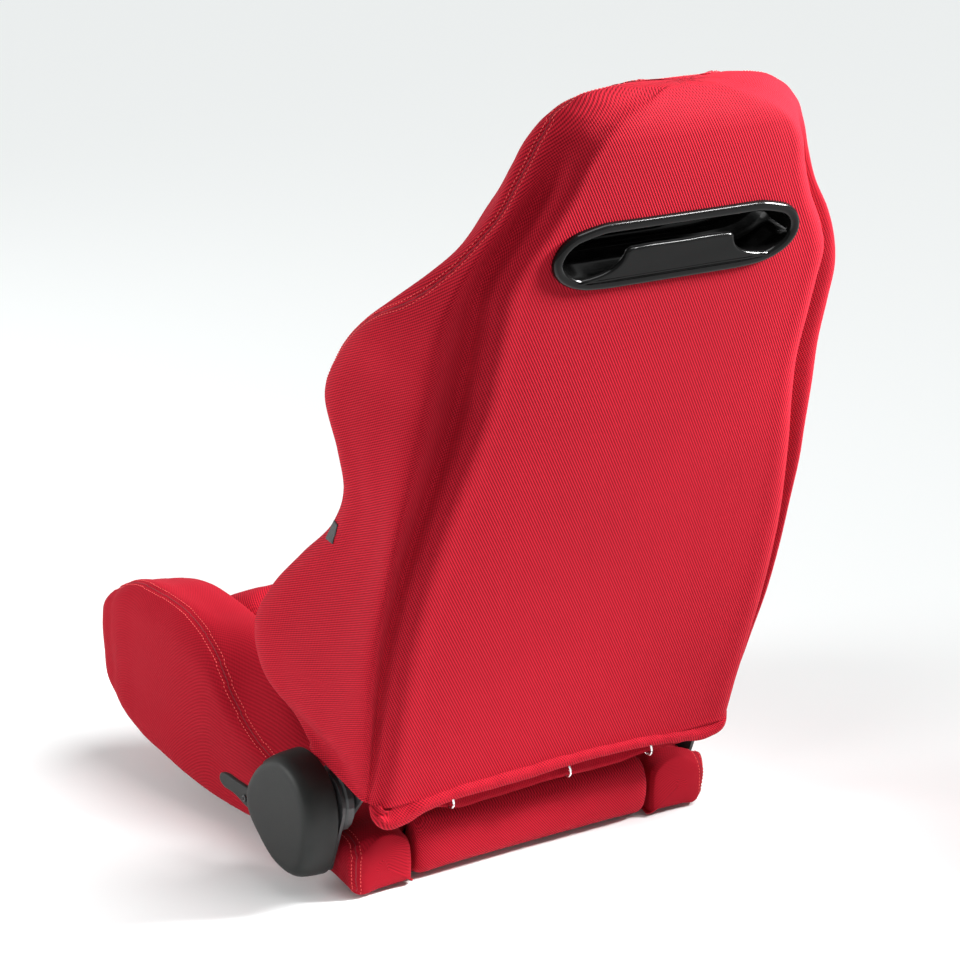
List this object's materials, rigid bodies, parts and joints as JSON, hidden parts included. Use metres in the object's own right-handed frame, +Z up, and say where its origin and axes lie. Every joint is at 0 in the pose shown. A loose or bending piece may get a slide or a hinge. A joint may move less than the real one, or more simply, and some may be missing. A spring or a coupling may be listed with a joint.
{
  "type": "racing seat",
  "caption": "Reclining racing seat with high side wings, thigh bolsters and a harness slot; the backrest turns on a disc recliner at its base.",
  "frame": {"origin": "middle of the base pan's flat underside", "axes": "+Z up, -Y the way the occupant faces, +X the occupant's left (the recliner lever's side)"},
  "size_m": [0.5656, 0.8032, 0.8886],
  "materials": {
    "red_cloth": "woven polyester cloth over foam",
    "matt_black_plastic": "fine-grained matt moulding",
    "satin_black_plastic": "satin moulding",
    "black_steel": "black powder coat",
    "spring_steel": "oiled spring steel",
    "bright_steel": "bright zinc plate",
    "woven_tag": "blank woven tape"
  },
  "bodies": {
    "base": {"base_pan": "black_steel", "cushion_bolster_left": "red_cloth", "cushion_bolster_right": "red_cloth", "cushion_centre_pad": "red_cloth", "cushion_rear_roll": "red_cloth", "front_cross_tube": "black_steel", "hinge_plate_left": "black_steel", "hinge_plate_right": "black_steel", "pivot_bolt_right": "bright_steel", "plate_bolt_front_left": "bright_steel", "plate_bolt_front_right": "bright_steel", "plate_bolt_rear_left": "bright_steel", "plate_bolt_rear_right": "bright_steel", "plate_sleeve_front_left": "spring_steel", "plate_sleeve_front_right": "spring_steel", "plate_sleeve_rear_left": "spring_steel", "plate_sleeve_rear_right": "spring_steel", "rail_nut_front_left": "bright_steel", "rail_nut_front_right": "bright_steel", "rail_nut_rear_left": "bright_steel", "rail_nut_rear_right": "bright_steel", "rear_cross_tube": "black_steel", "recliner_cover": "matt_black_plastic", "recliner_disc": "spring_steel", "recliner_return_spring": "spring_steel", "seat_spring_1": "spring_steel", "seat_spring_2": "spring_steel", "seat_spring_3": "spring_steel", "seat_spring_4": "spring_steel", "side_member_left": "black_steel", "side_member_right": "black_steel"},
    "backrest": {"back_arm_left": "black_steel", "back_arm_right": "black_steel", "back_centre_pad": "red_cloth", "back_frame_tube": "black_steel", "back_lower_cross_tube": "black_steel", "back_upper_cross_tube": "black_steel", "back_wing_left": "red_cloth", "back_wing_right": "red_cloth", "harness_guide_front": "satin_black_plastic", "harness_guide_rear": "satin_black_plastic", "headrest_pad": "red_cloth", "hog_ring_centre": "bright_steel", "hog_ring_left": "bright_steel", "hog_ring_right": "bright_steel", "lumbar_spring_1": "spring_steel", "lumbar_spring_2": "spring_steel", "lumbar_spring_3": "spring_steel", "lumbar_spring_4": "spring_steel", "rear_cover": "red_cloth", "rear_hem": "red_cloth", "wing_tag": "woven_tag"},
    "recline_lever": {"release_shaft": "spring_steel", "lever_arm": "black_steel", "lever_grip": "matt_black_plastic", "lever_screw": "bright_steel"}
  },
  "joints": [
    {"name": "backrest_recline", "type": "hinge", "parent": "base", "child": "backrest", "pos_m": [0, 0.195, 0.105], "axis": [-1, 0, 0], "range_deg": [-38, 40]},
    {"name": "release_lever", "type": "hinge", "parent": "base", "child": "recline_lever", "pos_m": [0, 0.195, 0.105], "axis": [-1, 0, 0], "range_deg": [0, 20], "stiffness_Nm_per_rad": 0.8, "springref_deg": -28.65}
  ]
}
